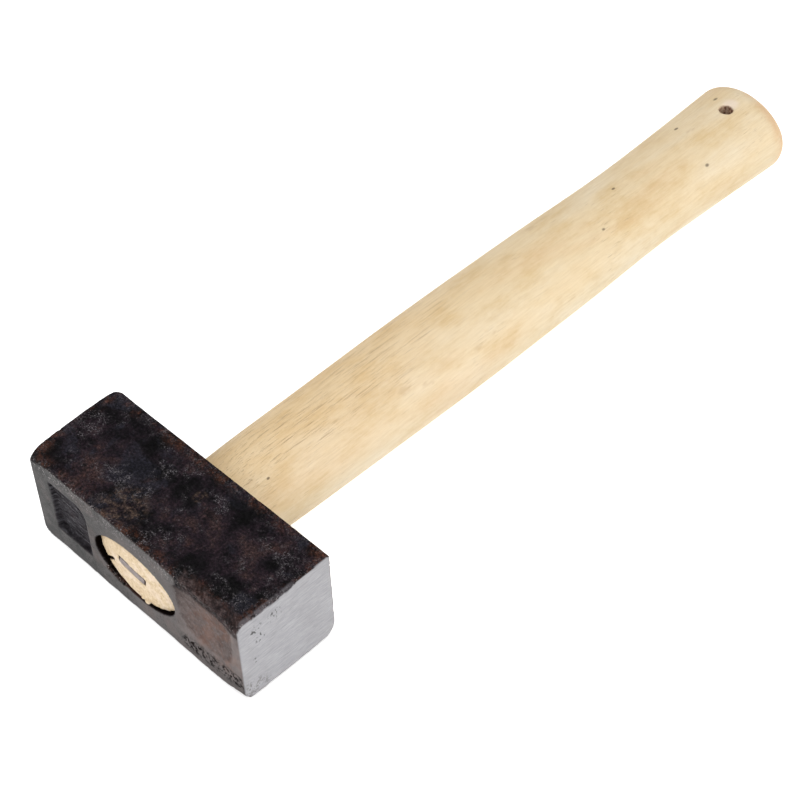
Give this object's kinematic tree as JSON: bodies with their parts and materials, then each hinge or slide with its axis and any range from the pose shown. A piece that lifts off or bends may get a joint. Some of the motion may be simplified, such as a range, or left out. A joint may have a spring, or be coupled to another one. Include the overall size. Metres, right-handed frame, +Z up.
{
  "type": "club hammer",
  "caption": "Short-handled club hammer: square forged steel head with two blunt faces and sunk panels, oval wooden handle, steel wedge in the eye.",
  "frame": {"origin": "on the lower cheek, on which the hammer lies, under the centre of the eye", "axes": "+X along the head to the ground striking face, +Y along the handle to its butt, +Z up out of the upper cheek"},
  "size_m": [0.1038, 0.3172, 0.0395],
  "materials": {
    "forged_steel": "black forging scale with rust at the edges; eye face and striking face ground bright",
    "handle_wood": "sanded pale hardwood, thin matt oil",
    "wedge_steel": "dull, driven flush"
  },
  "bodies": {
    "root": {"head": "forged_steel", "handle": "handle_wood", "wedge": "wedge_steel"}
  },
  "joints": []
}
